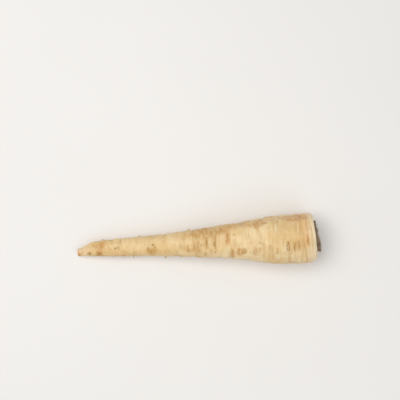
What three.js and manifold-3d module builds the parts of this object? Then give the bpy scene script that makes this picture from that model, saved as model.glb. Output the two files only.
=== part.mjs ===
// A parsnip, trimmed for sale: one taproot and the cut bases of its leaf stalks.
// Millimetres. +X runs from the cut tail to the crown, +Z is up, and the root lies on z = 0.
// "along" is a distance from the cut tail; "angle" goes round the root from +Y up over the top.

import * as THREE from 'three';
import Module from 'manifold-3d';

const wasm = await Module();
wasm.setup();

// The root's main sizes
const ROOT_LENGTH = 189.8;
const WIDEST = 19.8; // radius at the shoulder
const TAIL_CUT = 3; // radius of the cut tail
const TAIL_BEVEL = 0.6;
const SHOULDER_START = 180; // where the sides begin to round over to the crown
const SHOULDER_SQUARENESS = 2.9; // 2 is an ellipse, more is squarer
const RIM_RADIUS = 15; // crest of the rim round the crown's hollow
const HOLLOW_RADIUS = 13.4;
const HOLLOW_DEPTH = 2.6;
const HOLLOW_FLOOR = ROOT_LENGTH - HOLLOW_DEPTH;

// Curves along the root, each point [along, value]
const GIRTH = [
  [0, TAIL_CUT], [3, 3.35], [8, 4.75], [12, 5.75], [17, 6.15], [58, 8.3], [92, 10.7],
  [118, 13.5], [135, 15.6], [150, 18.3], [164, 19.5], [SHOULDER_START, WIDEST],
  [ROOT_LENGTH, 19.3],
];
const BOW = [
  [0, -1.1], [3, -0.85], [8, 0.4], [12, 1.15], [18, 1.2], [92, 1.1], [125, 1.1], [150, 0.6],
  [SHOULDER_START, 0], [ROOT_LENGTH, 1.3],
];
// Height of the underside over the surface; where it is below zero the root is pressed flat
const LIFT = [
  [0, -0.5], [10, -0.45], [34, 0.3], [90, 1.1], [122, 0.8], [146, -0.5], [165, -0.9],
  [ROOT_LENGTH, -0.3],
];

// The crown's face leans back from square: its low sides reach further along the root
const CROWN_LEAN = { start: 150, across: 0.065, up: 0.09 };

// The section is slightly oval and three-sided: times round, share of the radius, phase, turn per mm
const SECTION_WAVES = [
  { times: 2, share: 0.012, phase: 0.7, twist: 0.011 },
  { times: 3, share: 0.008, phase: -1.1, twist: -0.017 },
];

// Four furrows along the sides, in which scars and side rootlets sit in rows
const FURROWS = { angles: [20, 108, 198, 285], depth: 0.022, width: 0.3, twist: 0.0022 };

// Creases that run part of the way round, closer together towards the shoulder
const CREASES = {
  count: 90, seed: 11, crowding: 0.72, reach: [0.5, 1.8], depth: [0.2, 0.54], width: [1.25, 1.95],
  slant: [-0.7, 0.7], lip: 0.5, lipOffset: 1.7,
};

// The main lenticel scars: [along, angle in degrees, length round the root]
const SCARS = [
  [97, 94, 5.6], [103.5, 88, 8.9], [110.5, 88, 11.4], [102.5, 142, 5.4], [120.2, 74, 8.3],
  [123.7, 134, 9.5], [129, 126, 7.1], [141.2, 120, 8.5], [153.5, 109, 6.8], [158.5, 116, 6.2],
  [167.4, 105, 9.5], [172.7, 105, 7.4], [176.4, 102, 8.5], [183.6, 91, 8.7],
];
const SCAR_DEPTH = 0.35;
const SCAR_WIDTH = 1.2;

// Stumps of side rootlets, all on the thinner half
const STUMPS = {
  count: 7, seed: 5, sides: 6, start: 14, end: 92, length: [0.6, 1.9], thickness: [1.1, 1.8],
  tip: 0.4, sunk: 1.2, jitter: 0.3, lean: [-0.8, 0.4],
};

// Cut leaf stalks in whorls round the bud: number, inner and outer radius, height over the rim
const WHORLS = [
  { stalks: 6, inner: 9.9, outer: 12.8, height: 2 },
  { stalks: 5, inner: 6.6, outer: 9.4, height: 2.5 },
  { stalks: 4, inner: 3.4, outer: 6.1, height: 2.2 },
  { stalks: 2, inner: 0.5, outer: 3, height: 1.6 },
];
const STALK = {
  seed: 23, steps: 6, pithDepth: 0.4, thinning: 0.72, droop: 0.3, spread: 0.1,
  span: [0.84, 0.94], cut: [0.75, 1.25], jitter: 0.08,
};
const CUT_SLOPE = 0.3; // the stalks on the low side of the crown's face stand this much prouder
const TUFT = { radius: 12.9, sides: 32, seat: HOLLOW_FLOOR + 0.35, height: 2.2, bevel: 0.5 };

// Mesh of the root
const SECTORS = 38;
const STATION_STEP = 1.5;
const SHOULDER_STEPS = 8;

// The place along the root that stands at the part's origin
const MIDDLE = 97.15;

const ROOT_FINISH = { color: 0xe0c493, roughness: 0.55, metalness: 0 };
const STUB_FINISH = { color: 0x7e6c5a, roughness: 0.85, metalness: 0 };

/** Seeded random numbers from 0 to 1. */
function randomNumbers(seed) {
  let state = seed;
  return () => {
    state = (state + 0x6d2b79f5) | 0;
    let mixed = Math.imul(state ^ (state >>> 15), 1 | state);
    mixed = (mixed + Math.imul(mixed ^ (mixed >>> 7), 61 | mixed)) ^ mixed;
    return ((mixed ^ (mixed >>> 14)) >>> 0) / 4294967296;
  };
}

/** A random number in a range. */
function within([low, high], random) {
  return low + (high - low) * random();
}

/** Angles evenly round a full turn. */
function anglesRound(count) {
  return Array.from({ length: count }, (_, i) => (2 * Math.PI * i) / count);
}

/** The signed way round from one angle to another, within half a turn. */
function turnFrom(from, to) {
  return Math.atan2(Math.sin(to - from), Math.cos(to - from));
}

/** A smooth curve through points of rising x, as a function of x. */
function curveThrough(points) {
  const slopes = points.map((point, i) => {
    const before = points[Math.max(i - 1, 0)];
    const after = points[Math.min(i + 1, points.length - 1)];
    return (after[1] - before[1]) / (after[0] - before[0]);
  });
  return (x) => {
    let i = 0;
    while (i < points.length - 2 && x > points[i + 1][0]) i += 1;
    const [x0, y0] = points[i];
    const [x1, y1] = points[i + 1];
    const span = x1 - x0;
    const t = THREE.MathUtils.clamp((x - x0) / span, 0, 1);
    const rise = t * t * (3 - 2 * t);
    const bend = t * (1 - t) * span;
    return y0 + (y1 - y0) * rise + bend * ((1 - t) * slopes[i] - t * slopes[i + 1]);
  };
}

const girth = curveThrough(GIRTH);
const bow = curveThrough(BOW);
const lift = curveThrough(LIFT);

/** Where a furrow runs at a place along the root: the furrows twist slowly round it. */
function furrowAngle(degrees, along) {
  return THREE.MathUtils.degToRad(degrees) + FURROWS.twist * (along - ROOT_LENGTH);
}

/** The section's shape, as a factor on the radius. */
function sectionShape(along, angle) {
  let factor = 1;
  for (const { times, share, phase, twist } of SECTION_WAVES) {
    factor += share * Math.cos(times * angle + phase + twist * along);
  }
  for (const degrees of FURROWS.angles) {
    const off = turnFrom(furrowAngle(degrees, along), angle) / FURROWS.width;
    factor -= FURROWS.depth * Math.exp(-off * off);
  }
  return factor;
}

/** The creases and scars, as one list of grooves. */
function scatterGrooves() {
  const random = randomNumbers(CREASES.seed);
  const creases = Array.from({ length: CREASES.count }, () => {
    const along = 4 + (SHOULDER_START - 2) * random() ** CREASES.crowding;
    return {
      along,
      angle: 2 * Math.PI * random(),
      reach: within(CREASES.reach, random),
      depth: within(CREASES.depth, random) * Math.min(1, girth(along) / 12),
      width: within(CREASES.width, random),
      slant: within(CREASES.slant, random),
    };
  });
  const scars = SCARS.map(([along, degrees, length]) => ({
    along,
    angle: THREE.MathUtils.degToRad(degrees),
    reach: (0.6 * length) / girth(along),
    depth: SCAR_DEPTH,
    width: SCAR_WIDTH,
    slant: 0,
  }));
  return [...creases, ...scars];
}

const GROOVES = scatterGrooves();

/** How far the grooves and their lips sink or raise the skin. */
function grooveRelief(along, angle) {
  let relief = 0;
  for (const groove of GROOVES) {
    const turn = turnFrom(groove.angle, angle);
    const share = turn / groove.reach;
    if (Math.abs(share) < 1) {
      const off = (along - groove.along - groove.slant * turn) / groove.width;
      const lip = CREASES.lip * Math.exp(-((off - CREASES.lipOffset) ** 2));
      relief += groove.depth * (1 - share * share) ** 2 * (lip - Math.exp(-off * off));
    }
  }
  return relief;
}

/** Puts a point of the straight root where the bowed, lying root has it. */
function place(along, angle, radius) {
  const across = radius * Math.cos(angle);
  const up = radius * Math.sin(angle);
  const lean = THREE.MathUtils.smoothstep(along, CROWN_LEAN.start, SHOULDER_START);
  return new THREE.Vector3(
    along - lean * (CROWN_LEAN.across * across + CROWN_LEAN.up * up) - MIDDLE,
    across + bow(along),
    Math.max(0, up + girth(along) + lift(along)),
  );
}

/** The root's skin at a place along and round it. */
function skinPoint(along, angle, radius) {
  return place(along, angle, radius * sectionShape(along, angle) + grooveRelief(along, angle));
}

/** A closed solid from rings of equally many points, with a point at each end. */
function solidFromRings(first, rings, last) {
  const sides = rings[0].length;
  const points = [first, ...rings.flat(), last];
  const at = (ring, side) => 1 + ring * sides + (side % sides);
  const end = points.length - 1;
  const triangles = [];
  for (let side = 0; side < sides; side += 1) {
    triangles.push(0, at(0, side + 1), at(0, side));
    triangles.push(end, at(rings.length - 1, side), at(rings.length - 1, side + 1));
    for (let ring = 0; ring < rings.length - 1; ring += 1) {
      const [a, b] = [at(ring, side), at(ring, side + 1)];
      const [c, d] = [at(ring + 1, side), at(ring + 1, side + 1)];
      triangles.push(a, b, d, a, d, c);
    }
  }
  return new wasm.Manifold(new wasm.Mesh({
    numProp: 3,
    vertProperties: new Float32Array(points.flatMap((point) => point.toArray())),
    triVerts: new Uint32Array(triangles),
  }));
}

/** The root's body: cut tail, tapering sides, rounded shoulder, rim and crown hollow. */
function rootBody() {
  const angles = anglesRound(SECTORS);
  const plainRing = ([along, radius]) => angles.map((angle) => place(along, angle, radius));
  const skinRing = ([along, radius]) => angles.map((angle) => skinPoint(along, angle, radius));

  const tail = [[0.2, TAIL_CUT / 2], [0, TAIL_CUT - TAIL_BEVEL]];
  const stations = Math.round(SHOULDER_START / STATION_STEP);
  const sides = Array.from({ length: stations }, (_, station) => {
    const along = TAIL_BEVEL + ((SHOULDER_START - TAIL_BEVEL) * station) / stations;
    return [along, girth(along)];
  });
  const shoulder = Array.from({ length: SHOULDER_STEPS + 1 }, (_, step) => {
    const turn = (Math.PI / 2) * (step / SHOULDER_STEPS);
    const out = Math.cos(turn) ** (2 / SHOULDER_SQUARENESS);
    const on = Math.sin(turn) ** (2 / SHOULDER_SQUARENESS);
    return [
      SHOULDER_START + (ROOT_LENGTH - SHOULDER_START) * on,
      RIM_RADIUS + (WIDEST - RIM_RADIUS) * out,
    ];
  });
  const hollow = [
    [ROOT_LENGTH - 0.5, HOLLOW_RADIUS + 0.8], [ROOT_LENGTH - 1.5, HOLLOW_RADIUS + 0.2],
    [HOLLOW_FLOOR + 0.2, HOLLOW_RADIUS], [HOLLOW_FLOOR, HOLLOW_RADIUS - 0.6],
    [HOLLOW_FLOOR, HOLLOW_RADIUS / 2],
  ];
  const rings = [
    ...tail.map(plainRing), ...[...sides, ...shoulder].map(skinRing), ...hollow.map(plainRing),
  ];
  return solidFromRings(place(0.3, 0, 0), rings, place(HOLLOW_FLOOR, 0, 0));
}

/** A round tapered stump whose foot is sunk in the skin, leaning along the root. */
function rootletStump(along, angle, length, thickness, lean) {
  const axis = place(along, angle, 0);
  const foot = skinPoint(along, angle, girth(along));
  const out = foot.clone().sub(axis).normalize();
  const across = new THREE.Vector3(0, -out.z, out.y).normalize();
  const forward = new THREE.Vector3().crossVectors(out, across);
  const tipWay = out.clone().addScaledVector(new THREE.Vector3(1, 0, 0), lean).normalize();
  const path = new THREE.QuadraticBezierCurve3(
    foot.clone().addScaledVector(out, -STUMPS.sunk),
    foot.clone().addScaledVector(out, 0.4 * length),
    foot.clone().addScaledVector(tipWay, length),
  );
  const ringAt = (share) => anglesRound(STUMPS.sides).map((turn) => {
    const radius = (thickness / 2) * (1 - (1 - STUMPS.tip) * share);
    return path.getPoint(share)
      .addScaledVector(across, radius * Math.cos(turn))
      .addScaledVector(forward, radius * Math.sin(turn));
  });
  return solidFromRings(path.getPoint(0), [0, 0.4, 0.75, 1].map(ringAt), path.getPoint(1));
}

/** The stumps, in the three furrows that are clear of the underside. */
function rootletStumps() {
  const random = randomNumbers(STUMPS.seed);
  const stretch = (STUMPS.end - STUMPS.start) / STUMPS.count;
  return Array.from({ length: STUMPS.count }, (_, i) => {
    const along = STUMPS.start + stretch * (i + random());
    const angle = furrowAngle(FURROWS.angles[i % 3], along) + STUMPS.jitter * (random() - 0.5);
    const length = within(STUMPS.length, random);
    return rootletStump(along, angle, length, within(STUMPS.thickness, random), within(STUMPS.lean, random));
  });
}

/** One leaf stalk's cut base: an upright crescent with a ragged top, hollowed along its pith. */
function stalkBase(middle, halfSpan, inner, outer, height, random) {
  const phases = [2 * Math.PI * random(), 2 * Math.PI * random()];
  const centre = (outer + inner) / 2;
  const thickness = outer - inner;
  const top = ROOT_LENGTH + height;
  const edge = (level, thick, side) => Array.from({ length: STALK.steps + 1 }, (_, step) => {
    const share = side * ((2 * step) / STALK.steps - 1);
    const off = side * (thick / 2) * (1 - STALK.thinning * share * share);
    const over = Math.max(0, level - ROOT_LENGTH);
    const ragged = 0.16 * Math.sin(3.1 * share + phases[0]) + 0.1 * Math.sin(8 * share + phases[1] + side);
    const cut = over * (ragged - STALK.droop * share * share);
    return place(level + cut, middle + share * halfSpan, centre + off + STALK.spread * over);
  });
  const outline = (level, thick) => [...edge(level, thick, 1), ...edge(level, thick, -1)];
  const foot = TUFT.seat + TUFT.bevel;
  return solidFromRings(
    place(foot, middle, centre),
    [
      outline(foot, thickness), outline(ROOT_LENGTH, thickness),
      outline(top, 0.94 * thickness), outline(top - STALK.pithDepth, 0.45 * thickness),
    ],
    place(top - STALK.pithDepth, middle, centre + STALK.spread * height),
  );
}

/** The whorls of stalk bases, smaller towards the bud, on one common base. */
function leafStubs() {
  const random = randomNumbers(STALK.seed);
  const angles = anglesRound(TUFT.sides);
  const top = TUFT.seat + TUFT.height;
  const baseProfile = [
    [TUFT.seat, TUFT.radius - TUFT.bevel], [TUFT.seat + TUFT.bevel, TUFT.radius],
    [top, TUFT.radius - TUFT.bevel],
  ];
  let tuft = solidFromRings(
    place(TUFT.seat, 0, 0),
    baseProfile.map(([along, radius]) => angles.map((angle) => place(along, angle, radius))),
    place(top, 0, 0),
  );
  for (const { stalks, inner, outer, height } of WHORLS) {
    const turn = 2 * Math.PI * random();
    for (let stalk = 0; stalk < stalks; stalk += 1) {
      const jitter = STALK.jitter * (2 * random() - 1);
      const middle = turn + (2 * Math.PI * (stalk + jitter)) / stalks;
      const halfSpan = (Math.PI / stalks) * within(STALK.span, random);
      const cut = height * within(STALK.cut, random) * (1 - CUT_SLOPE * Math.cos(middle));
      tuft = tuft.add(stalkBase(middle, halfSpan, inner, outer, cut, random));
    }
  }
  return tuft;
}

/** A named mesh of one solid. */
function namedMesh(name, solid, finish) {
  const { vertProperties, triVerts } = solid.getMesh();
  const geometry = new THREE.BufferGeometry();
  geometry.setAttribute('position', new THREE.BufferAttribute(vertProperties, 3));
  geometry.setIndex(new THREE.BufferAttribute(triVerts, 1));
  geometry.computeVertexNormals();
  const mesh = new THREE.Mesh(geometry, new THREE.MeshStandardMaterial(finish));
  mesh.name = name;
  return mesh;
}

const root = rootletStumps().reduce((whole, stump) => whole.add(stump), rootBody());

const parsnip = new THREE.Group();
parsnip.add(namedMesh('root', root, ROOT_FINISH));
parsnip.add(namedMesh('leaf_stubs', leafStubs(), STUB_FINISH));

export default parsnip;
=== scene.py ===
"""The finished look of one parsnip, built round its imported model.

Sizes are millimetres on the straight root, as in the part's source, until a mesh is made:
"along" is a distance from the cut tail, and "angle" goes round from +Y up over the top.
"""

import math

import bpy
import numpy as np
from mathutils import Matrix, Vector, noise


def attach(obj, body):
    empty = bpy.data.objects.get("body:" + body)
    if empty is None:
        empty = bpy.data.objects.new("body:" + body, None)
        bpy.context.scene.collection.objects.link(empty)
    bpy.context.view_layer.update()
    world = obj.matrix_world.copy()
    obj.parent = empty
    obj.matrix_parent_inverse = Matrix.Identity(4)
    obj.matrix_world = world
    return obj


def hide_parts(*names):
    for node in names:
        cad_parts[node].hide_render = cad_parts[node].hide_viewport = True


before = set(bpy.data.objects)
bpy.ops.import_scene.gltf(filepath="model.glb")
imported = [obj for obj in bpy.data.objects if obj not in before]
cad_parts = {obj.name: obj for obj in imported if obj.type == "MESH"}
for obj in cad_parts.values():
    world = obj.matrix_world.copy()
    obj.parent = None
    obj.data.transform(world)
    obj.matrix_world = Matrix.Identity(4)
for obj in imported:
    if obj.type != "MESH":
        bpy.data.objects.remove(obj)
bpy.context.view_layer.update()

MM = 0.001  # in Blender's metres

# The root's form, the same as in the part's source
ROOT_LENGTH = 189.8
WIDEST = 19.8  # radius at the shoulder
TAIL_CUT = 3  # radius of the cut tail
TAIL_BEVEL = 0.6
TAIL_DIP = 0.3  # how far the middle of the cut tail's face lies inside its edge
SHOULDER_START = 180  # where the sides begin to round over to the crown
SHOULDER_SQUARENESS = 2.9  # 2 is an ellipse, more is squarer
RIM_RADIUS = 15  # crest of the rim round the crown's hollow
HOLLOW_RADIUS = 13.4
HOLLOW_FLOOR = ROOT_LENGTH - 2.6
# The hollow's wall under the crown's rim: how deep, and how far outside the hollow's radius
HOLLOW_WALL = [(0.1, 1.3), (0.35, 0.95), (0.75, 0.6), (1.2, 0.3), (1.7, 0.15), (2.3, 0)]
# Curves along the root: its radius, its sideways bow, and its underside's height over the surface
GIRTH = [
    (0, TAIL_CUT), (3, 3.35), (8, 4.75), (12, 5.75), (17, 6.15), (58, 8.3), (92, 10.7), (118, 13.5),
    (135, 15.6), (150, 18.3), (164, 19.5), (SHOULDER_START, WIDEST), (ROOT_LENGTH, 19.3),
]
BOW = [
    (0, -1.1), (3, -0.85), (8, 0.4), (12, 1.15), (18, 1.2), (92, 1.1), (125, 1.1), (150, 0.6),
    (SHOULDER_START, 0), (ROOT_LENGTH, 1.3),
]
LIFT = [
    (0, -0.5), (10, -0.45), (34, 0.3), (90, 1.1), (122, 0.8), (146, -0.5), (165, -0.9),
    (ROOT_LENGTH, -0.3),
]
# The crown's face leans back from square
LEAN_START, LEAN_ACROSS, LEAN_UP = 150, 0.065, 0.09
# The section's waves: times round, share of the radius, phase, turn per mm along
SECTION_WAVES = [(2, 0.012, 0.7, 0.011), (3, 0.008, -1.1, -0.017)]
# Four furrows along the sides, in which scars and side rootlets sit in rows
FURROW_ANGLES = (20, 108, 198, 285)
FURROW_DEPTH, FURROW_WIDTH, FURROW_TWIST = 0.022, 0.3, 0.0022
MIDDLE = 97.15  # the place along the root that stands at the frame's origin

# Creases, closer together towards the shoulder: the source's own, then finer ones
CREASES = {
    "count": 90, "seed": 11, "crowding": 0.72, "reach": (0.5, 1.8), "depth": (0.2, 0.54),
    "width": (1.25, 1.95), "slant": (-0.7, 0.7),
}
FINE_CREASES = {
    "count": 620, "seed": 31, "crowding": 0.62, "reach": (0.12, 0.75), "depth": (0.05, 0.17),
    "width": (0.34, 0.8), "slant": (-0.9, 0.9),
}
CREASE_LIP, CREASE_LIP_OFFSET = 0.5, 1.7

# The main lenticel scars: along, angle in degrees, length round the root, darkness, and how
# orange they are, from 0 for olive to 1
SCARS = [
    (97, 94, 5.6, 0.5, 0.6), (103.5, 88, 8.9, 0.75, 0), (110.5, 88, 11.4, 0.9, 0.1),
    (102.5, 142, 5.4, 0.4, 0), (120.2, 74, 8.3, 0.75, 1), (123.7, 134, 9.5, 0.6, 1),
    (129, 126, 7.1, 0.55, 1), (141.2, 120, 8.5, 0.4, 0.9), (153.5, 109, 6.8, 0.42, 0.4),
    (158.5, 116, 6.2, 0.65, 0.1), (167.4, 105, 9.5, 0.72, 0.5), (172.7, 105, 7.4, 0.7, 0.1),
    (176.4, 102, 8.5, 0.75, 0.1), (183.6, 91, 8.7, 0.75, 1),
]
EYES = (141.2, 153.5, 167.4)  # the scars at these places are a brown ring round pale skin
# Smaller scars, in the same columns
SMALL_SCARS = [
    # At the tail
    (1.4, 126, 3, 1, 0.3), (9.9, 128, 3.2, 1, 0.2), (17.4, 134, 3.4, 1, 0.6), (18.6, 128, 3, 1, 0.3),
    # Towards the crown
    (94, 92, 6, 0.55, 1), (97.5, 118, 4, 0.5, 0.6), (100, 96, 1.8, 0.6, 0.2), (132.2, 121, 4, 0.5, 0.1),
    (110.1, 126, 2, 0.7, 0.1), (125.3, 68, 2, 0.8, 0.4), (137.6, 95, 2.8, 0.5, 0.3),
    (137.8, 172, 3.4, 0.8, 0.3), (145, 114, 4.4, 0.55, 0.2), (145, 95, 1.3, 0.9, 0),
    (150.4, 42, 2.4, 1, 0.3),
]
SCAR_DEPTH, SCAR_WIDTH = 0.35, 1.2  # of the source's dents
LIP_HEIGHT, SLIT_DEPTH = 0.13, 0.17
EYE_WIDTH = 1.3
EYE_RING, EYE_LINE = 0.8, 0.42  # the ring's place, as a share of the eye, and its line's width

# Soft patches, mostly discoloured skin and partly painted shade: along, degrees, size along, size round,
# strength, how orange
PATCHES = [
    # Round the scars
    (129.4, 125, 3, 3.6, 0.8, 1), (132.8, 121, 2.6, 3.2, 0.8, 0.1), (165, 122, 5, 3, 0.35, 0.1),
    (141, 122, 4, 4.5, 0.35, 0.8), (120.4, 76, 2.4, 5.4, 0.85, 1), (123.7, 134, 2, 5, 0.6, 1),
    # Along the side that is turned up the picture
    # Partly tan staining, partly painted shade and warm bounced light along this edge from neighbouring
    # roots
    (84, 50, 8, 3, 0.4, 0.3), (101, 34, 13, 7.5, 0.85, 0.35), (115.5, 48, 5, 3.6, 0.9, 0.1),
    (121, 30, 9, 6.5, 0.75, 0.7), (138, 26, 10, 7.5, 0.75, 0.6), (144, 42, 7, 3.6, 0.65, 0.8),
    (155, 20, 11, 8.5, 0.58, 0.6), (176, 26, 12, 6.6, 0.95, 1),
    # At the tail
    (1.2, 124, 1.6, 2.2, 0.8, 0.3), (10, 126, 2, 2.2, 0.9, 0.2), (18.4, 128, 2.8, 3, 1, 0.4),
    # Painted shadow of a neighbouring root lying over the tail
    (19, 60, 5, 4, 0.6, 0.9), (21, 90, 9, 9, 0.5, 0.45),
    # Broad and faint ones
    (98, 95, 10, 20, 0.5, 0.35), (108, 80, 6, 10, 0.3, 0.3), (146, 76, 13, 7, 0.14, 0.6),
    (171, 102, 7, 7, 0.3, 0.2),
]
MORE_PATCHES = {
    "count": 30, "seed": 83, "size_along": (2, 7), "size_round": (1.5, 4.5),
    "strength": (0.25, 0.7),
}

# Lenticels in rows along the furrows, and loose ones between them
LENTICEL_ROWS = {
    "seed": 47, "gap": (4.5, 11), "jitter": 0.55, "length": (1.2, 6.5), "width": (0.3, 0.62),
    "darkness": (0.25, 0.85),
}
LOOSE_LENTICELS = {
    "count": 130, "seed": 53, "length": (0.8, 2.6), "width": (0.22, 0.45), "darkness": (0.2, 0.75),
}
# The sides that show their own scars, in degrees and mm along: no random rows or patches there
SEEN_SIDES = [((40, 160), (94, 190)), ((30, 165), (0, 25))]

# Low swellings and dents all over the skin: size along, size across, height
LUMPS = [(26, 16, 0.34), (9, 11, 0.13), (3.4, 6, 0.05)]

# Old leaf scars round the crown: distance from the rim, depth
CROWN_RINGS = [(0.9, 0.26), (2.2, 0.4), (3.7, 0.3), (5.5, 0.42), (8.4, 0.32), (12, 0.22)]

# Side rootlets: the source's stumps, then thin hairs
STUMPS = {
    "count": 7, "seed": 5, "start": 14, "end": 92, "length": (0.6, 1.9), "thickness": (1.1, 1.8),
    "tip": 0.4, "sunk": 1.2, "jitter": 0.3, "lean": (-0.8, 0.4), "sides": 14, "steps": 9,
    "wobble": 0.09,
}
STUMP_MOUND_WIDTH, STUMP_MOUND_HEIGHT = 1.5, 0.35
HAIRS = {
    "count": 24, "seed": 61, "start": 3, "end": 92, "length": (0.8, 3), "thickness": (0.22, 0.4),
    "tip": 0.35, "sunk": 0.4, "jitter": 0.9, "sides": 7, "steps": 8, "wobble": 0.05,
    "sway": ((-1.04, 0.56), (-0.7, 0.7), (-0.25, 0.25)),  # sideways along X, Y and Z
}
HAIR_FOOT_LOWEST, HAIR_TIP_LOWEST = 2, 0.8  # over the surface; lower hairs are left out

# Cut leaf stalks in whorls, where the source has them: number, inner and outer radius, height
WHORLS = [(6, 9.9, 12.8, 2), (5, 6.6, 9.4, 2.5), (4, 3.4, 6.1, 2.2), (2, 0.5, 3, 1.6)]
STALK = {
    "seed": 23, "thinning": 0.72, "droop": 0.3, "spread": 0.1, "span": (0.84, 0.94),
    "cut": (0.75, 1.25), "jitter": 0.08,
}
CUT_SLOPE = 0.3  # the stalks on the low side of the crown's face stand this much prouder
PITH_DEPTH = 0.5
TUFT = {"radius": 12.9, "bevel": 0.5, "seat": HOLLOW_FLOOR + 0.35, "height": 2.2, "sides": 96}
FIBRES = {
    "count": 90, "seed": 71, "length": (0.5, 1.9), "thickness": (0.14, 0.34), "tip": 0.4,
    "below_cut": 0.35, "sunk": 0.3, "sway": 0.9, "sides": 6, "steps": 5, "wobble": 0,
}

# Fineness of the meshes
SECTORS = 236
STATION_STEP = 0.5
TAIL_ROWS = 7
SHOULDER_STEPS = 30
STALK_STEPS = 22
STALK_LEVELS = 7

# The camera looks straight down from far off, turned so that the root climbs to the right
PHOTO_WIDTH_MM = 316
PHOTO_TURN = math.radians(3.5)
PHOTO_CENTRE = (3.6, 35.2)  # what the middle of the picture shows, in the frame's X and Y, in mm
SUBJECT_HEIGHT = 18
LENS, SENSOR = 90, 36

# The lights, placed in mm by the picture's own right and up and by height; size in metres
LIGHTS = {
    "key": {"at": (-330, 130, 960), "size": 0.8, "watts": 6.2, "colour": (1, 0.99, 0.975)},
    "fill": {"at": (420, -420, 760), "size": 0.9, "watts": 1.7, "colour": (1, 1, 1)},
}
SKY_STRENGTH = 0.45
FLOOR_REACH, FLOOR_DROP = 3, 0.0002  # in metres


def srgb(red, green, blue):
    """A colour given as 0 to 255 screen values, in Blender's linear values."""
    shares = [value / 255 for value in (red, green, blue)]
    linear = [s / 12.92 if s <= 0.04045 else ((s + 0.055) / 1.055) ** 2.4 for s in shares]
    return (*linear, 1)


CREAM = srgb(238, 214, 168)
STRAW = srgb(226, 193, 136)
TAN = srgb(208, 168, 108)
PALE = srgb(244, 226, 190)
# Pale rim skin, made brighter than PALE as painted light
RIM_PALE_AND_PAINTED_LIGHT = srgb(255, 236, 198)
PINKISH = srgb(240, 210, 172)
BLUSH = srgb(216, 156, 104)
CREASE_BROWN = srgb(176, 132, 78)
SCAR_BROWN = srgb(128, 84, 38)
SCAR_ORANGE = srgb(196, 135, 60)
OLIVE = srgb(184, 141, 62)
EARTH = srgb(112, 82, 52)
FLESH = srgb(236, 218, 176)
CORE = srgb(214, 182, 122)
STALK_DARK = srgb(82, 66, 52)
STALK_GREY = srgb(156, 138, 120)
STALK_PALE = srgb(194, 174, 146)
STALK_TAN = srgb(156, 126, 92)
FLOOR_PALE = srgb(236, 234, 231)
FLOOR_CLOUD = srgb(231, 229, 226)


# ---- Numbers ----

def random_numbers(seed):
    """Seeded random numbers from 0 to 1, the same as the part's source draws."""
    low_32 = 0xFFFFFFFF
    state = seed

    def draw():
        nonlocal state
        state = (state + 0x6D2B79F5) & low_32
        mixed = (state ^ (state >> 15)) * (1 | state) & low_32
        mixed = (mixed + ((mixed ^ (mixed >> 7)) * (61 | mixed) & low_32) ^ mixed) & low_32
        return (mixed ^ (mixed >> 14)) / 4294967296

    return draw


def within(bounds, random):
    """A random number in a range."""
    return bounds[0] + (bounds[1] - bounds[0]) * random()


def draw_each(names, settings, random):
    """A random number in each of these ranges, by name."""
    return {name: within(settings[name], random) for name in names}


def even_turns(count):
    """Angles evenly round a full turn."""
    return 2 * math.pi * np.arange(count) / count


def unit(vector):
    """The vector at length 1."""
    return vector / np.linalg.norm(vector)


def turn_from(start, end):
    """The signed way round from one angle to another, within half a turn."""
    return np.arctan2(np.sin(end - start), np.cos(end - start))


def smooth_step(low, high, value):
    """0 at low, 1 at high, with an eased way between; low may be the larger."""
    share = np.clip((np.asarray(value, float) - low) / (high - low), 0, 1)
    return share * share * (3 - 2 * share)


def way_walked(points):
    """How far along their path each of these flat points lies."""
    return np.r_[0, np.cumsum(np.hypot(*np.diff(points, axis=0).T))]


def curve_through(points):
    """A smooth curve through points of rising x, as a function of x."""
    xs, ys = np.array(points, float).T
    before = np.maximum(np.arange(len(xs)) - 1, 0)
    after = np.minimum(np.arange(len(xs)) + 1, len(xs) - 1)
    slopes = (ys[after] - ys[before]) / (xs[after] - xs[before])

    def curve(x):
        i = np.clip(np.searchsorted(xs, x, side="left") - 1, 0, len(xs) - 2)
        span = xs[i + 1] - xs[i]
        share = np.clip((x - xs[i]) / span, 0, 1)
        rise = share * share * (3 - 2 * share)
        bend = share * (1 - share) * span * ((1 - share) * slopes[i] - share * slopes[i + 1])
        return ys[i] + (ys[i + 1] - ys[i]) * rise + bend

    return curve


girth = curve_through(GIRTH)
bow = curve_through(BOW)
lift = curve_through(LIFT)


# ---- The root's form ----

def furrow_angle(degrees, along):
    return math.radians(degrees) + FURROW_TWIST * (along - ROOT_LENGTH)


def section_shape(along, angle):
    """The section's shape, as a factor on the radius."""
    factor = 1.0
    for times, share, phase, twist in SECTION_WAVES:
        factor = factor + share * np.cos(times * angle + phase + twist * along)
    for degrees in FURROW_ANGLES:
        off = turn_from(furrow_angle(degrees, along), angle) / FURROW_WIDTH
        factor = factor - FURROW_DEPTH * np.exp(-off * off)
    return factor


def place(along, angle, radius):
    """Where the bowed, lying root has a point of the straight one, in metres."""
    across = radius * np.cos(angle)
    up = radius * np.sin(angle)
    lean = smooth_step(LEAN_START, SHOULDER_START, along)
    x = along - lean * (LEAN_ACROSS * across + LEAN_UP * up) - MIDDLE
    y = across + bow(along)
    z = np.maximum(0, up + girth(along) + lift(along))
    return np.stack(np.broadcast_arrays(x, y, z), axis=-1) * MM


def scatter_creases(settings):
    """Grooves that run part of the way round, closer together towards the shoulder."""
    random = random_numbers(settings["seed"])
    creases = []
    for _ in range(settings["count"]):
        along = 4 + (SHOULDER_START - 2) * random() ** settings["crowding"]
        crease = {"along": along, "angle": 2 * math.pi * random()}
        crease |= draw_each(("reach", "depth", "width", "slant"), settings, random)
        crease["depth"] *= min(1, girth(along) / 12)
        creases.append(crease)
    return creases


def scar_grooves():
    """The shallow dents that the source gives the main scars."""
    return [{
        "along": along, "angle": math.radians(degrees), "reach": 0.6 * length / girth(along),
        "depth": SCAR_DEPTH, "width": SCAR_WIDTH, "slant": 0,
    } for along, degrees, length, _, _ in SCARS]


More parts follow.
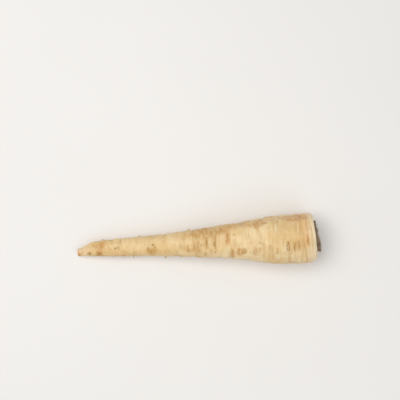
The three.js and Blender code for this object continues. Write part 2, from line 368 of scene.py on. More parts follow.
def is_seen(along, angle):
    """Whether a place is on a side that has its own scars."""
    degrees = math.degrees(angle) % 360
    return any(
        low < degrees < high and start < along < end for (low, high), (start, end) in SEEN_SIDES
    )


def lenticel(along, angle, length, width, darkness, random):
    return {
        "along": along, "angle": angle, "length": length, "width": width, "darkness": darkness,
        "phase": 2 * math.pi * random(), "orange": random(), "is_eye": along in EYES,
    }


def random_lenticel(along, angle, settings, random, size=1):
    sizes = draw_each(("length", "width", "darkness"), settings, random)
    sizes["length"] *= size
    return lenticel(along, angle, random=random, **sizes)


def lenticels():
    """Every lenticel scar: the main ones, rows of them in the furrows, and loose ones."""
    random = random_numbers(LENTICEL_ROWS["seed"])
    found = []
    for along, degrees, length, darkness, orange in SCARS + SMALL_SCARS:
        width = 0.3 + 0.35 * darkness
        scar = lenticel(along, math.radians(degrees), length, width, darkness, random)
        found.append(scar | {"orange": orange})
    for degrees in FURROW_ANGLES:
        along = 6 * random()
        while along < ROOT_LENGTH - 4:
            angle = furrow_angle(degrees, along) + LENTICEL_ROWS["jitter"] * (random() - 0.5)
            size = min(1, 0.35 + girth(along) / 20)
            scar = random_lenticel(along, angle, LENTICEL_ROWS, random, size)
            if not is_seen(along, angle):
                found.append(scar)
            along += within(LENTICEL_ROWS["gap"], random)
    random = random_numbers(LOOSE_LENTICELS["seed"])
    for _ in range(LOOSE_LENTICELS["count"]):
        along, angle = (ROOT_LENGTH - 3) * random(), 2 * math.pi * random()
        found.append(random_lenticel(along, angle, LOOSE_LENTICELS, random))
    return found


def stump_places():
    """Where the source puts its rootlet stumps, with their sizes."""
    random = random_numbers(STUMPS["seed"])
    stretch = (STUMPS["end"] - STUMPS["start"]) / STUMPS["count"]
    stumps = []
    for i in range(STUMPS["count"]):
        along = STUMPS["start"] + stretch * (i + random())
        angle = furrow_angle(FURROW_ANGLES[i % 3], along) + STUMPS["jitter"] * (random() - 0.5)
        sizes = draw_each(("length", "thickness", "lean"), STUMPS, random)
        stumps.append({"along": along, "angle": angle} | sizes)
    return stumps


# ---- Meshes ----

def add_object(name, data):
    """A new object in the scene, from a mesh, a light or a camera."""
    made = bpy.data.objects.new(name, data)
    bpy.context.scene.collection.objects.link(made)
    return made


def mesh_object(name, points, faces, smooth=True):
    """An object from points in metres and faces."""
    mesh = bpy.data.meshes.new(name)
    mesh.from_pydata(np.asarray(points).reshape(-1, 3).tolist(), [], faces)
    mesh.polygons.foreach_set("use_smooth", [smooth] * len(mesh.polygons))
    mesh.update()
    return add_object(name, mesh)


def write_attribute(thing, name, values):
    """Gives each vertex of an object a number that its material reads."""
    attribute = thing.data.attributes.new(name, "FLOAT", "POINT")
    attribute.data.foreach_set("value", np.asarray(values, np.float32).ravel())


def read_numbers(items, name):
    """One whole number of each of a mesh's items."""
    values = np.empty(len(items), np.int32)
    items.foreach_get(name, values)
    return values


def tube_faces(rings, sides, offset=0):
    """Faces of a closed body: its first point, rings of equally many points, and its last point."""
    def at(ring, side):
        return offset + 1 + ring * sides + side % sides

    end = offset + 1 + rings * sides
    faces = [(offset, at(0, side + 1), at(0, side)) for side in range(sides)]
    for ring in range(rings - 1):
        faces += [
            (at(ring, side), at(ring, side + 1), at(ring + 1, side + 1), at(ring + 1, side))
            for side in range(sides)
        ]
    faces += [(end, at(rings - 1, side), at(rings - 1, side + 1)) for side in range(sides)]
    return faces


def bodies_object(name, bodies):
    """One object from several closed bodies, each (first point, rings, last point)."""
    points, faces = [], []
    for first, rings, last in bodies:
        faces += tube_faces(len(rings), len(rings[0]), len(points))
        points += [first, *np.asarray(rings).reshape(-1, 3), last]
    return mesh_object(name, points, faces)


def ring_values(body, values):
    """One value for each ring of a closed body, as one for each of its points."""
    rings = body[1]
    return np.r_[values[0], np.repeat(values, len(rings[0])), values[-1]]


# ---- The root's skin ----

def skin_profile():
    """The root's outline from the tail's middle to the hollow's, as rows of (along, radius)."""
    tail = [
        (TAIL_DIP * (1 - share), share * (TAIL_CUT - TAIL_BEVEL))
        for share in np.arange(1, TAIL_ROWS + 1) / TAIL_ROWS
    ]
    bevel = [
        (TAIL_BEVEL * (1 - math.cos(turn)), TAIL_CUT - TAIL_BEVEL * (1 - math.sin(turn)))
        for turn in np.radians((30, 60))
    ]
    stations = round((SHOULDER_START - TAIL_BEVEL) / STATION_STEP)
    steps = TAIL_BEVEL + (SHOULDER_START - TAIL_BEVEL) * np.arange(stations) / stations
    sides = [(along, girth(along)) for along in steps]
    shoulder = []
    for turn in np.linspace(0, math.pi / 2, SHOULDER_STEPS + 1):
        out = max(0, math.cos(turn)) ** (2 / SHOULDER_SQUARENESS)
        on = math.sin(turn) ** (2 / SHOULDER_SQUARENESS)
        shoulder.append((
            SHOULDER_START + (ROOT_LENGTH - SHOULDER_START) * on,
            RIM_RADIUS + (WIDEST - RIM_RADIUS) * out,
        ))
    hollow = [(ROOT_LENGTH - depth, HOLLOW_RADIUS + out) for depth, out in HOLLOW_WALL]
    floor = [(HOLLOW_FLOOR, HOLLOW_RADIUS - 0.5), (HOLLOW_FLOOR, HOLLOW_RADIUS / 2)]
    return np.array(tail + bevel + sides + shoulder + hollow + floor)


def even_shoulder(profile):
    """The same outline with the rows of the shoulder spread evenly along it."""
    start = np.searchsorted(profile[:, 0], SHOULDER_START)
    end = start + SHOULDER_STEPS
    bend = profile[start:end + 1]
    walked = way_walked(bend)
    even = np.linspace(0, walked[-1], len(bend))
    profile[start:end + 1] = np.stack([np.interp(even, walked, bend[:, i]) for i in (0, 1)], 1)
    return profile


class Skin:
    """The root's skin as a grid of rows along it and sectors round it, with what lies on it."""

    def __init__(self):
        profile = even_shoulder(skin_profile())
        self.along, self.radius = profile[:, :1], profile[:, 1:]
        self.angle = even_turns(SECTORS)[None]
        steps = np.gradient(profile, axis=0)
        steps /= np.maximum(np.hypot(*steps.T), 1e-9)[:, None]
        self.out_along, self.out_radius = -steps[:, 1:], steps[:, :1]
        self.walked = way_walked(profile)[:, None]
        shape = (len(profile), SECTORS)
        self.surface = np.zeros((*shape, 3))
        self.relief = np.zeros(shape)
        self.layers = {
            name: np.zeros(shape)
            for name in ("band", "groove", "scar", "slit", "olive", "orange", "mound")
        }
        # 1 on the skin, fading to 0 on the tail's cut face and down the wall of the hollow
        in_hollow = smooth_step(RIM_RADIUS - 0.2, HOLLOW_RADIUS + 0.2, self.radius)
        at_crown = self.along > SHOULDER_START
        self.is_skin = smooth_step(0.3, 1.5, self.along) * (1 - in_hollow * at_crown)

    def rows_near(self, along, reach):
        near = np.flatnonzero(np.abs(self.along[:, 0] - along) < reach)
        return slice(near[0], near[-1] + 1) if len(near) else slice(0, 0)

    def add_creases(self, creases, layer):
        for crease in creases:
            reach = 4.2 * crease["width"] + abs(crease["slant"]) * crease["reach"]
            rows = self.rows_near(crease["along"], reach)
            turn = turn_from(crease["angle"], self.angle)
            share = np.clip(np.abs(turn / crease["reach"]), 0, 1)
            fade = (1 - share * share) ** 2
            off = (self.along[rows] - crease["along"] - crease["slant"] * turn) / crease["width"]
            groove = np.exp(-off * off)
            lip = CREASE_LIP * np.exp(-((off - CREASE_LIP_OFFSET) ** 2))
            self.relief[rows] += crease["depth"] * fade * (lip - groove)
            self.layers[layer][rows] += min(1, crease["depth"] / 0.3) * fade * groove ** 2

    def add_lenticel(self, scar):
        """A lens of corky skin lying across the root, with raised lips and a slit."""
        half_length, half_width = scar["length"] / 2, scar["width"]
        rows = self.rows_near(scar["along"], 2.2 + 5 * half_width)
        turn = turn_from(scar["angle"], self.angle)
        share = turn * girth(scar["along"]) / half_length
        wander = 0.22 * np.sin(2.4 * share + scar["phase"]) + 0.1 * np.sin(5 * share - scar["phase"])
        off = self.along[rows] - scar["along"] - wander
        lens = np.clip(1 - share * share, 0, 1)
        width = half_width * (0.25 + 0.75 * np.sqrt(lens))
        body = smooth_step(1.6, 0.3, np.abs(off) / width) * smooth_step(0, 0.35, lens)
        slit = np.exp(-((off / (0.55 * width)) ** 2)) * smooth_step(0.05, 0.5, lens)
        lips = np.exp(-(((np.abs(off) - 1.15 * width) / (0.5 * width)) ** 2)) * smooth_step(0, 0.3, lens)
        halo = np.exp(-((off / (0.6 + 1.6 * half_width)) ** 2) - (share / 1.15) ** 4)
        size = min(1, half_length / 2.5)
        darkness = scar["darkness"]
        if scar["is_eye"]:
            oval = np.maximum(np.hypot(off / EYE_WIDTH, share), 1e-6)
            steepness = np.hypot(off / EYE_WIDTH ** 2, share / half_length) / oval
            from_ring = (oval - EYE_RING) / np.maximum(steepness, 1e-6)
            ring = np.exp(-((from_ring / EYE_LINE) ** 2)) * smooth_step(1.3, 0.5, np.abs(share))
            body, slit, lips = 1.3 * ring, 1.4 * ring, np.exp(-(((from_ring - 0.7) / 0.35) ** 2))
        self.relief[rows] += (LIP_HEIGHT * lips - SLIT_DEPTH * slit) * (0.45 + 0.55 * size)
        for name, value in (("scar", body * darkness), ("slit", slit * darkness)):
            self.layers[name][rows] = np.maximum(self.layers[name][rows], value)
        halo = halo * darkness * (0.35 + 0.65 * size)
        self.layers["orange"][rows] += halo * scar["orange"]
        self.layers["olive"][rows] += halo * (1 - scar["orange"])

    def add_patch(self, along, angle, size_along, size_round, strength, orange):
        """A soft discoloured patch, or a soft patch of painted shade."""
        rows = self.rows_near(along, 1.6 * size_along)
        round_it = turn_from(angle, self.angle) * girth(along)
        far = np.hypot((self.along[rows] - along) / size_along, round_it / size_round)
        soft = strength * np.exp(-(far ** 3))
        self.layers["orange"][rows] += soft * orange
        self.layers["olive"][rows] += soft * (1 - orange)

    def add_patches(self):
        for along, degrees, *rest in PATCHES:
            self.add_patch(along, math.radians(degrees), *rest)
        random = random_numbers(MORE_PATCHES["seed"])
        for _ in range(MORE_PATCHES["count"]):
            along, angle = (ROOT_LENGTH - 6) * random(), 2 * math.pi * random()
            sizes = draw_each(("size_along", "size_round", "strength"), MORE_PATCHES, random)
            orange = random()
            if not is_seen(along, angle):
                self.add_patch(along, angle, orange=orange, **sizes)

    def add_mound(self, along, angle, width, height):
        """A low mound that a rootlet stands on."""
        rows = self.rows_near(along, 4 * width)
        round_it = turn_from(angle, self.angle) * girth(along)
        near = np.exp(-((self.along[rows] - along) ** 2 + round_it ** 2) / width ** 2)
        self.relief[rows] += height * near
        self.layers["mound"][rows] = np.maximum(self.layers["mound"][rows], near)

    def add_lumps(self):
        """Low uneven swellings of several sizes."""
        straight = np.stack(np.broadcast_arrays(
            self.walked, self.radius * np.cos(self.angle), self.radius * np.sin(self.angle)
        ), -1).reshape(-1, 3)
        for size_along, size_across, height in LUMPS:
            scale = np.array((1 / size_along, 1 / size_across, 1 / size_across))
            values = [noise.noise(Vector(point)) for point in straight * scale + 7.3]
            self.relief += height * np.reshape(values, self.relief.shape)

    def add_crown_rings(self):
        """Old leaf scars: uneven rings round the crown, closer together towards its rim."""
        before_rim = self.to_rim()
        for ring, (distance, depth) in enumerate(CROWN_RINGS):
            wave = 0.5 * np.sin(3 * self.angle + 2 * ring) + 0.3 * np.sin(7 * self.angle + 5 * ring)
            strength = 0.55 + 0.45 * np.sin(2 * self.angle + 1.7 * ring)
            off = (before_rim - distance - wave) / 0.6
            groove = np.exp(-off * off) * strength
            self.relief += depth * (0.5 * np.exp(-((off - 1.8) ** 2)) * strength - groove)
            self.layers["groove"] += 1.1 * groove ** 2

    def to_rim(self):
        """How far each row still has to go to the rim, along the skin; below zero in the hollow."""
        return self.walked[np.argmax(self.along)] - self.walked

    def settle(self):
        """Works out the finished surface, once everything lies on it."""
        relief = self.relief * self.is_skin
        section = 1 + self.is_skin * (section_shape(self.along, self.angle) - 1)
        along = self.along + self.out_along * relief
        self.surface = place(along, self.angle, self.radius * section + self.out_radius * relief)


def unwrap_skin(thing, walked):
    """A map for the finish: lengthways by the way walked to each row, and once round across."""
    layer = thing.data.uv_layers.new(name="OFBake")
    vertex = read_numbers(thing.data.loops, "vertex_index")
    count = read_numbers(thing.data.polygons, "loop_total")
    face = np.repeat(np.arange(len(count)), count)
    row = np.clip((vertex - 1) // SECTORS, 0, len(walked) - 1)
    side = (vertex - 1) % SECTORS
    is_first, is_last = vertex == 0, vertex == len(walked) * SECTORS + 1
    is_pole = is_first | is_last
    # The last sector's far corners close the turn at 1, not at 0
    face_top = np.zeros(len(count), np.int32)
    np.maximum.at(face_top, face, np.where(is_pole, 0, side))
    closes = (side == 0) & (face_top[face] == SECTORS - 1)
    across = np.where(closes, SECTORS, side) / SECTORS
    across = np.where(is_pole, (face_top[face] - 0.5) / SECTORS, across)
    margin = 0.004
    lengthways = (walked / walked.max())[row]
    lengthways = np.where(is_first, -margin, np.where(is_last, 1 + margin, lengthways))
    map_points = np.stack([lengthways, across], 1) * (1 - 3 * margin) + 1.5 * margin
    layer.uv.foreach_set("vector", map_points.astype(np.float32).ravel())


def build_root():
    """The root's whole surface, from the cut tail to the hollow under the leaf stalks."""
    skin = Skin()
    skin.add_creases(scatter_creases(CREASES) + scar_grooves(), "band")
    skin.add_creases(scatter_creases(FINE_CREASES), "groove")
    skin.add_crown_rings()
    skin.add_lumps()
    skin.add_patches()
    for scar in lenticels():
        skin.add_lenticel(scar)
    for stump in stump_places():
        skin.add_mound(stump["along"], stump["angle"], STUMP_MOUND_WIDTH, STUMP_MOUND_HEIGHT)
    skin.settle()
    body = (place(TAIL_DIP, 0, 0), skin.surface, place(HOLLOW_FLOOR, 0, 0))
    root = bodies_object("root_skin", [body])
    unwrap_skin(root, skin.walked.ravel())
    cut = smooth_step(0.75, 0.35, skin.along)
    by_row = {"to_rim": skin.to_rim(), "along": skin.along, "cut": cut, "from_heart": skin.radius}
    for name, values in (skin.layers | by_row).items():
        values = np.broadcast_to(values, skin.relief.shape).ravel()
        write_attribute(root, name, np.r_[values[0], values, values[-1]])
    return root, skin


# ---- Rootlets ----

def bent_tube(path, sideways, thickness, shape):
    """The rings of a tapered tube along a path: its start, the point it bends towards, its end.

    The path is in metres and the thickness in mm; sideways gives two directions across it.
    """
    start, bend, end = path
    turns = even_turns(shape["sides"])
    rings = []
    for share in np.linspace(0, 1, shape["steps"]):
        centre = (1 - share) ** 2 * start + 2 * share * (1 - share) * bend + share ** 2 * end
        uneven = 1 + shape["wobble"] * np.sin(9 * share + 3 * turns)
        radius = MM * (thickness / 2) * (1 - (1 - shape["tip"]) * share) * uneven
        across = np.outer(radius * np.cos(turns), sideways[0])
        rings.append(centre + across + np.outer(radius * np.sin(turns), sideways[1]))
    return rings


def rootlet(foot, out, tip_way, length, thickness, shape):
    """A rootlet that stands in the skin and bends from straight out to its tip's way."""
    across = unit(np.cross(out, (1, 0, 0)))
    bend, end = foot + out * 0.4 * length * MM, foot + tip_way * length * MM
    path = (foot - out * shape["sunk"] * MM, bend, end)
    rings = bent_tube(path, (across, np.cross(out, across)), thickness, shape)
    return rings[0].mean(0), rings, rings[-1].mean(0) + tip_way * 0.12 * thickness * MM


def skin_point(skin, along, angle):
    """The nearest point of the finished skin, and the way out of it."""
    row = np.argmin(np.abs(skin.along[:, 0] - along))
    side = round(angle / (2 * math.pi) * SECTORS) % SECTORS
    foot = skin.surface[row, side]
    out = foot - place(along, angle, 0)
    out[0] = 0
    return foot, unit(out)


def stump_bodies(skin):
    """Broken stumps of side rootlets."""
    bodies = []
    for stump in stump_places():
        foot, out = skin_point(skin, stump["along"], stump["angle"])
        tip_way = unit(out + np.array((stump["lean"], 0, 0)))
        bodies.append(rootlet(foot, out, tip_way, stump["length"], stump["thickness"], STUMPS))
    return bodies


def hair_bodies(skin):
    """Thin dry hairs, clear of the surface that the root lies on."""
    random = random_numbers(HAIRS["seed"])
    bodies = []
    for _ in range(HAIRS["count"]):
        along = within((HAIRS["start"], HAIRS["end"]), random)
        furrow = FURROW_ANGLES[int(4 * random()) % 4]
        angle = furrow_angle(furrow, along) + HAIRS["jitter"] * (random() - 0.5)
        length, thickness = draw_each(("length", "thickness"), HAIRS, random).values()
        foot, out = skin_point(skin, along, angle)
        tip_way = unit(out + np.array([within(bounds, random) for bounds in HAIRS["sway"]]))
        tip_height = foot[2] + length * MM * tip_way[2]
        if foot[2] > HAIR_FOOT_LOWEST * MM and tip_height > HAIR_TIP_LOWEST * MM:
            bodies.append(rootlet(foot, out, tip_way, length, thickness, HAIRS))
    return bodies


def build_rootlets(skin):
    """The stumps and hairs, as one object."""
    bodies = stump_bodies(skin) + hair_bodies(skin)
    rootlets = bodies_object("rootlets", bodies)
    to_tip = [ring_values(body, np.linspace(0, 1, len(body[1]))) for body in bodies]
    write_attribute(rootlets, "to_tip", np.concatenate(to_tip))
    return rootlets


# ---- The cut leaf stalks ----

def tuft_base():
    """The low base that all the stalks stand on: a closed body, its levels and its tone."""
    turns = even_turns(TUFT["sides"])
    seat, bevel, widest = TUFT["seat"], TUFT["bevel"], TUFT["radius"]
    top = seat + TUFT["height"]
    profile = [
        (seat, widest - bevel), (seat + bevel, widest), (top - 0.3, widest - 0.1), (top, widest - bevel),
    ]
    profile += [(top + 0.1 * math.sin(2.3 * inner), inner) for inner in (10, 8, 6, 4, 2)]
    rings = [
        place(along + 0.12 * np.sin(9 * turns + radius) * (along > top - 0.1), turns, radius)
        for along, radius in profile
    ]
    body = (place(seat, 0, 0), rings, place(top, 0, 0))
    return body, np.zeros(len(rings)), 0


def stalk_places():
    """Where the source puts its leaf stalks, with their sizes."""
    random = random_numbers(STALK["seed"])
    places = []
    for stalks, inner, outer, height in WHORLS:
        turn = 2 * math.pi * random()
        for stalk in range(stalks):
            jitter = STALK["jitter"] * (2 * random() - 1)
            middle = turn + 2 * math.pi * (stalk + jitter) / stalks
            places.append({
                "middle": middle,
                "half_span": math.pi / stalks * within(STALK["span"], random),
                "inner": inner,
                "outer": outer,
                "height": height * within(STALK["cut"], random) * (1 - CUT_SLOPE * math.cos(middle)),
                "phases": [2 * math.pi * random(), 2 * math.pi * random()],
            })
    return places


def stalk_base(middle, half_span, inner, outer, height, phases):
    """One leaf stalk's cut base: a ribbed upright crescent with a ragged top round its pith.

    Gives a closed body, its levels and its tone.
    """
    centre, thickness = (outer + inner) / 2, outer - inner
    top = ROOT_LENGTH + height
    share = np.linspace(-1, 1, STALK_STEPS + 1)
    share = np.r_[share, -share]
    side = np.r_[np.ones(STALK_STEPS + 1), -np.ones(STALK_STEPS + 1)]
    ribs = 0.11 * np.sin(23 * share + phases[0]) + 0.06 * np.sin(41 * share + phases[1])

    def outline(level, thick, torn):
        over = max(0, level - ROOT_LENGTH)
        ragged = 0.16 * np.sin(3.1 * share + phases[0]) + 0.1 * np.sin(8 * share + phases[1] + side)
        torn_edge = torn * (np.sin(19 * share + 2 * phases[1] + side) + 0.6 * np.sin(37 * share))
        cut = over * (ragged - STALK["droop"] * share * share) + torn_edge
        off = side * (thick / 2) * (1 - STALK["thinning"] * share * share) + ribs * side
        radius = centre + off + STALK["spread"] * over
        return place(level + cut, middle + share * half_span, radius)

    foot = TUFT["seat"] + TUFT["bevel"]
    walls = [outline(level, thickness, 0) for level in np.linspace(foot, top - 0.3, STALK_LEVELS)]
    rim = [outline(top, 0.94 * thickness, 0.13), outline(top + 0.02, 0.78 * thickness, 0.1)]
    pith = [
        outline(top - 0.6 * PITH_DEPTH, 0.6 * thickness, 0.04),
        outline(top - PITH_DEPTH, 0.4 * thickness, 0),
        outline(top - 0.8 * PITH_DEPTH, 0.2 * thickness, 0),
    ]
    last = place(top - 0.8 * PITH_DEPTH, middle, centre + STALK["spread"] * height)
    body = (place(foot, middle, centre), walls + rim + pith, last)
    # 0 at the foot, 1 at the cut edge, 2 in the pith
    levels = np.r_[np.linspace(0, 0.9, len(walls)), 1, 1.2, 1.6, 2, 2]
    return body, levels, 0.5 + 0.5 * math.sin(5 * middle + outer)


def dry_fibres(stalks):
    """Fibres that stand out of the stalks' cut edges: closed bodies, their levels and tones."""
    random = random_numbers(FIBRES["seed"])
    out = unit(place(ROOT_LENGTH + 1, 0, 0) - place(ROOT_LENGTH, 0, 0))
    fibres = []
    for _ in range(FIBRES["count"]):
        stalk = stalks[int(len(stalks) * random()) % len(stalks)]
        height = stalk["height"]
        share = 1.7 * (random() - 0.5)
        from_bud = within((stalk["inner"], stalk["outer"]), random) + STALK["spread"] * height
        level = ROOT_LENGTH + height * (1 - STALK["droop"] * share * share) - FIBRES["below_cut"]
        foot = place(level, stalk["middle"] + share * stalk["half_span"], from_bud)
        tip_way = unit(out + FIBRES["sway"] * np.array((0, random() - 0.5, random() - 0.5)))
        length, thickness = draw_each(("length", "thickness"), FIBRES, random).values()
        start = foot - out * FIBRES["sunk"] * MM
        path = (start, start + out * length / 2 * MM, start + tip_way * length * MM)
        rings = bent_tube(path, ((0, 1, 0), (0, 0, 1)), thickness, FIBRES)
        body = (rings[0].mean(0), rings, rings[-1].mean(0))
        fibres.append((body, np.linspace(0.9, 1.1, FIBRES["steps"]), random()))
    return fibres


def build_leaf_stubs():
    """The whorls of cut stalks on their common base, with the dry fibres that stand out of them."""
    stalks = stalk_places()
    parts = [tuft_base()] + [stalk_base(**stalk) for stalk in stalks] + dry_fibres(stalks)
    stubs = bodies_object("leaf_stalks", [body for body, _, _ in parts])
    level = [ring_values(body, levels) for body, levels, _ in parts]
    tone = [ring_values(body, np.full(len(levels), tone)) for body, levels, tone in parts]
    write_attribute(stubs, "level", np.concatenate(level))
    write_attribute(stubs, "tone", np.concatenate(tone))
    return stubs


# ---- Materials ----

class Tree:
    """A material's node tree, with short ways to add nodes, each giving the new node's output."""

    def __init__(self, name):
        self.material = bpy.data.materials.new(name)
        self.material.use_nodes = True
        self.tree = self.material.node_tree

    def fill(self, node, inputs):
        """Sets a node's inputs from numbers or colours, or links them to other nodes' outputs."""
        for name, value in inputs.items():
            if isinstance(value, bpy.types.NodeSocket):
                self.tree.links.new(value, node.inputs[name])
            else:
                node.inputs[name].default_value = value

    def add(self, kind, output, inputs, **settings):
        node = self.tree.nodes.new(kind)
        for name, value in settings.items():
            setattr(node, name, value)
        self.fill(node, inputs)
        return node.outputs[output]

    def attribute(self, name):
        return self.add("ShaderNodeAttribute", "Fac", {}, attribute_name=name)

    def noise(self, size_mm, detail=3.0, roughness=0.55, distortion=0.0):
        """Noise whose clouds are about this size in mm along X, Y and Z."""
        scaled = self.add("ShaderNodeMapping", "Vector", {
            "Vector": self.add("ShaderNodeTexCoord", "Object", {}),
            "Scale": [1 / (size * MM) for size in size_mm],
        })
        return self.add("ShaderNodeTexNoise", "Fac", {
            "Vector": scaled, "Scale": 1, "Detail": detail, "Roughness": roughness,
            "Distortion": distortion,
        })

    def step(self, value, low, high, to_low=0.0, to_high=1.0):
        """value mapped so that low gives to_low and high gives to_high, eased and clamped."""
        return self.add("ShaderNodeMapRange", "Result", {
            "Value": value, "From Min": low, "From Max": high, "To Min": to_low, "To Max": to_high,
        }, interpolation_type="SMOOTHSTEP")

    def maths(self, operation, first, second=0.0):
        return self.add("ShaderNodeMath", 0, {0: first, 1: second}, operation=operation)

    def times(self, first, second):
        return self.maths("MULTIPLY", first, second)

    def mix(self, share, first, second):
        """The first colour, with this share of the second mixed in."""
        return self.add("ShaderNodeMix", 2, {0: share, 6: first, 7: second}, data_type="RGBA")

    def bump(self, height, distance_mm, strength, normal=None):
        inputs = {"Height": height, "Distance": distance_mm * MM, "Strength": strength}
        if normal is not None:
            inputs["Normal"] = normal
        return self.add("ShaderNodeBump", "Normal", inputs)

    def finish(self, shader_inputs):
        """Sets the shader, and gives the material."""
        self.fill(self.tree.nodes["Principled BSDF"], shader_inputs)
        return self.material


def skin_tone(t, patches, fine):
    """Cream to straw in large soft patches, with streaks that run round the root."""
    colour = t.mix(t.step(patches, 0.36, 0.66), CREAM, STRAW)
    streaks = t.noise((3.4, 17, 17), 3, 0.6, 0.4)
    colour = t.mix(t.step(streaks, 0.5, 0.74, 0, 0.55), colour, TAN)
    light_streaks = t.noise((2.6, 13, 13), 3, 0.6, 0.3)
    colour = t.mix(t.step(light_streaks, 0.52, 0.72, 0, 0.6), colour, PALE)
    colour = t.mix(t.step(fine, 0.55, 0.8, 0, 0.35), colour, TAN)
    # The tail half is a little yellower, and its end paler, partly its own pinkish skin and partly
    # painted reflection
    along = t.attribute("along")
    colour = t.mix(t.step(along, 125, 90, 0, 0.5), colour, STRAW)
    return t.mix(t.step(along, 15, 6, 0, 0.6), colour, PINKISH)


def with_patches(t, colour):
    """Olive and orange patches, more or less broken up; some are painted shade, along one side and over
    the tail.
    """
    soft = t.noise((1.7, 4.2, 4.2), 4, 0.62, 0.5)
    for name, tint, most in (("olive", OLIVE, 0.72), ("orange", SCAR_ORANGE, 0.8)):
        patch = t.step(t.attribute(name), 0.06, 0.9, 0, most)
        colour = t.mix(t.times(patch, t.step(soft, 0.36, 0.62, 0.4, 1)), colour, tint)
    blotches = t.noise((9, 6, 6), 4, 0.6, 0.4)
    return t.mix(t.step(blotches, 0.6, 0.78, 0, 0.3), colour, OLIVE)


def with_crown(t, colour):
    """An orange-brown blush round the crown, in broken bands, then a grainy rim, pale partly of itself
    and partly from painted light where it turns away from the lamps.

    Gives the colour, and the rim's grain for the bump.
    """
    to_rim = t.attribute("to_rim")
    bands = t.noise((4.2, 24, 24), 3, 0.6, 0.8)
    near_rim = t.times(t.step(to_rim, 22, 10), t.step(to_rim, 3, 8, 0.15, 1))
    blush = t.times(near_rim, t.step(bands, 0.38, 0.66, 0.05, 0.32))
    colour = t.mix(blush, colour, BLUSH)
    # The rim's pale skin, lightened further as painted light against the shade where it turns away from
    # the key light
    colour = t.mix(t.step(to_rim, 10, 1, 0, 0.9), colour, RIM_PALE_AND_PAINTED_LIGHT)
    grain = t.noise((0.9, 1.1, 1.1), 4, 0.65)
    on_rim = t.times(t.step(to_rim, 8, 3), t.step(grain, 0.5, 0.7, 0, 0.3))
    colour = t.mix(on_rim, colour, TAN)
    return t.mix(t.step(to_rim, 0.6, -1.4, 0, 1), colour, EARTH), on_rim


def with_creases(t, colour):
    """Broad creases are a little darker, and fine ones hold a little brown."""
    colour = t.mix(t.step(t.attribute("band"), 0.1, 1.4, 0, 0.5), colour, TAN)
    broken = t.noise((1.2, 3.6, 3.6), 3, 0.6)
    dirt = t.times(t.step(t.attribute("groove"), 0.12, 0.8, 0, 0.42), t.step(broken, 0.3, 0.62, 0.2, 1))
    return t.mix(dirt, colour, CREASE_BROWN)


def with_scars(t, colour):
    """Scars: a corky body broken into flecks, and a dark slit. Gives the slit too, for the bump."""
    flecks = t.noise((0.5, 0.9, 0.9), 3, 0.65)
    dashes = t.noise((2.2, 1.5, 1.5), 2, 0.55)
    pieces = t.times(t.step(flecks, 0.36, 0.6, 0.3, 1), t.step(dashes, 0.36, 0.54, 0.45, 1))
    body = t.times(t.attribute("scar"), pieces)
    colour = t.mix(t.step(body, 0.03, 0.8, 0, 0.8), colour, CREASE_BROWN)
    slit = t.times(t.attribute("slit"), pieces)
    colour = t.mix(t.step(slit, 0.1, 0.75, 0, 0.8), colour, SCAR_BROWN)
    return t.mix(t.step(t.attribute("mound"), 0.35, 0.95, 0, 0.5), colour, CREASE_BROWN), slit


def thin_wrinkles(t):
    """Thin broken lines that run round the root, from 0 to 1."""
    waves = t.noise((1.3, 9, 9), 4, 0.55, 0.3)
    lines = t.step(t.maths("ABSOLUTE", t.maths("SUBTRACT", waves, 0.5)), 0, 0.045, 1, 0)
    return t.times(lines, t.step(t.noise((11, 6, 6), 2, 0.5), 0.42, 0.62))


def cut_flesh(t):
    """The flesh of the cut tail: a yellow core in a thin brown ring, then paler flesh."""
    grain = t.noise((2, 0.5, 0.5), 3, 0.6)
    uneven = t.maths("ADD", t.attribute("from_heart"), t.times(grain, 0.7))
    core_edge = t.times(t.step(uneven, 1.5, 1.75), t.step(uneven, 2.15, 1.9))
    flesh = t.mix(t.step(uneven, 1.6, 1.9), CORE, FLESH)
    flesh = t.mix(t.times(core_edge, 0.75), flesh, TAN)
    flesh = t.mix(t.step(uneven, 2.9, 3.5, 0, 0.9), flesh, SCAR_ORANGE)
    return t.mix(t.step(grain, 0.56, 0.75, 0, 0.5), flesh, SCAR_ORANGE)


def skin_material():
    """Raw parsnip skin: cream to straw, tan streaks across, stained crown, brown scars."""
    t = Tree("root_skin")
    patches = t.noise((34, 15, 15), 3, 0.5)
    fine = t.noise((0.55, 3.2, 3.2), 3, 0.62)
    colour = with_patches(t, skin_tone(t, patches, fine))
    colour, rim_grain = with_crown(t, colour)
    colour, slit = with_scars(t, with_creases(t, colour))
    wrinkles = thin_wrinkles(t)
    colour = t.mix(t.times(wrinkles, 0.13), colour, SCAR_ORANGE)
    specks = t.noise((0.7, 0.7, 0.7), 2, 0.5)
    colour = t.mix(t.step(specks, 0.745, 0.8, 0, 0.6), colour, SCAR_BROWN)
    colour = t.mix(t.attribute("cut"), colour, cut_flesh(t))
    uneven_skin = t.maths("SUBTRACT", fine, t.times(wrinkles, 0.4))
    relief = t.bump(t.maths("SUBTRACT", uneven_skin, rim_grain), 0.3, 0.8)
    pores = t.bump(t.noise((0.3, 1.1, 1.1), 3, 0.65), 0.12, 0.8, relief)
    return t.finish({
        "Base Color": colour,
        "Roughness": t.step(patches, 0.3, 0.7, 0.44, 0.6),
        "Specular IOR Level": 0.38,
        "Subsurface Weight": 0.12,
        "Subsurface Radius": (1, 0.55, 0.25),
        "Subsurface Scale": 2.2 * MM,
        "Normal": t.bump(t.maths("SUBTRACT", 0.0, slit), 0.2, 0.7, pores),
    })


def rootlet_material():
    """Dry rootlets: pale at the foot, with brown rings and a dark tip."""
    t = Tree("rootlet")
    rings = t.noise((0.5, 0.5, 0.5), 3, 0.6)
    colour = t.mix(t.step(rings, 0.4, 0.7, 0, 0.6), STRAW, CREASE_BROWN)
    colour = t.mix(t.step(t.attribute("to_tip"), 0.45, 1, 0, 0.8), colour, SCAR_BROWN)
    return t.finish({"Base Color": colour, "Roughness": 0.7, "Normal": t.bump(rings, 0.1, 0.6)})


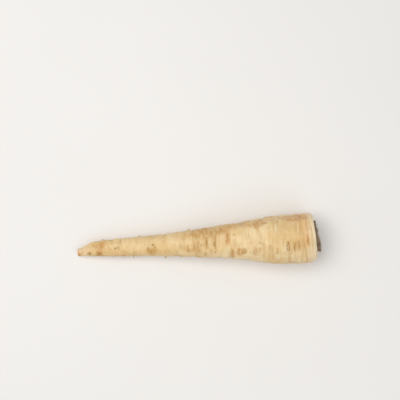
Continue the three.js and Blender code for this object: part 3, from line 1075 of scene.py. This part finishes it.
def stalk_material():
    """Dead leaf stalk: grey-brown, fibrous along its length, dark between the stalks."""
    t = Tree("leaf_stalk")
    level = t.attribute("level")
    fibres = t.noise((5, 0.42, 0.42), 4, 0.6)
    colour = t.mix(t.step(fibres, 0.34, 0.62), STALK_DARK, STALK_GREY)
    fine = t.noise((2.2, 0.2, 0.2), 3, 0.6)
    colour = t.mix(t.step(fine, 0.55, 0.72, 0, 0.6), colour, STALK_PALE)
    colour = t.mix(t.times(t.attribute("tone"), 0.4), colour, STALK_TAN)
    colour = t.mix(t.step(level, 0.55, 0, 0, 0.75), colour, STALK_DARK)
    torn = t.noise((0.5, 0.5, 0.5), 3, 0.6)
    edge = t.times(t.step(level, 0.85, 1.05), t.step(torn, 0.35, 0.65, 0.1, 0.7))
    colour = t.mix(edge, colour, STALK_PALE)
    colour = t.mix(t.step(level, 1.3, 1.9, 0, 0.6), colour, EARTH)
    return t.finish({
        "Base Color": colour,
        "Roughness": 0.85,
        "Specular IOR Level": 0.2,
        "Normal": t.bump(fibres, 0.25, 0.8, t.bump(fine, 0.1, 0.8)),
    })


def floor_material():
    """A plain pale matt surface."""
    t = Tree("floor")
    cloud = t.step(t.noise((160, 160, 160), 2, 0.5), 0.3, 0.7, 0, 0.25)
    return t.finish({"Base Color": t.mix(cloud, FLOOR_PALE, FLOOR_CLOUD), "Roughness": 0.75})


# ---- The studio ----

def seen_from_above(right, up, height):
    """A point of the frame, in metres, given in the picture's own right and up, in mm."""
    x = right * math.cos(PHOTO_TURN) + up * math.sin(PHOTO_TURN) + PHOTO_CENTRE[0]
    y = -right * math.sin(PHOTO_TURN) + up * math.cos(PHOTO_TURN) + PHOTO_CENTRE[1]
    return Vector((x, y, height)) * MM


def build_camera():
    camera_data = bpy.data.cameras.new("camera")
    camera_data.lens = LENS
    camera_data.sensor_width = SENSOR
    camera_data.clip_end = 20
    camera = add_object("camera", camera_data)
    camera.location = seen_from_above(0, 0, SUBJECT_HEIGHT + PHOTO_WIDTH_MM * LENS / SENSOR)
    camera.rotation_euler = (0, 0, -PHOTO_TURN)
    bpy.context.scene.camera = camera


def add_area_light(name, at, size, watts, colour):
    """A round soft light over the root, turned to it."""
    light = bpy.data.lights.new(name, "AREA")
    light.shape = "DISK"
    light.size = size
    light.energy = watts
    light.color = colour
    lamp = add_object(name, light)
    lamp.location = seen_from_above(*at)
    middle = Vector((0, 0, SUBJECT_HEIGHT * MM))
    lamp.rotation_euler = (middle - lamp.location).to_track_quat("-Z", "Y").to_euler()


def build_studio():
    """A plain pale surface under soft light from all round."""
    corners = [(-1, -1), (1, -1), (1, 1), (-1, 1)]
    points = [(FLOOR_REACH * x, FLOOR_REACH * y, -FLOOR_DROP) for x, y in corners]
    floor = mesh_object("floor", points, [(0, 1, 2, 3)], smooth=False)
    floor.data.materials.append(floor_material())
    for name, light in LIGHTS.items():
        add_area_light(name, **light)
    world = bpy.data.worlds.new("studio")
    world.use_nodes = True
    background = world.node_tree.nodes["Background"]
    background.inputs["Color"].default_value = (1, 1, 1, 1)
    background.inputs["Strength"].default_value = SKY_STRENGTH
    bpy.context.scene.world = world
    bpy.context.scene.view_settings.view_transform = "Standard"


# ---- The whole scene ----

root, skin = build_root()
rootlets = build_rootlets(skin)
leaf_stubs = build_leaf_stubs()
for piece, material, slot in (
    (root, skin_material(), "root_skin"),
    (rootlets, rootlet_material(), "root_skin"),
    (leaf_stubs, stalk_material(), "leaf_stalk"),
):
    piece.data.materials.append(material)
    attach(piece, "root")
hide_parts("root")
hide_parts("leaf_stubs")

build_camera()
build_studio()
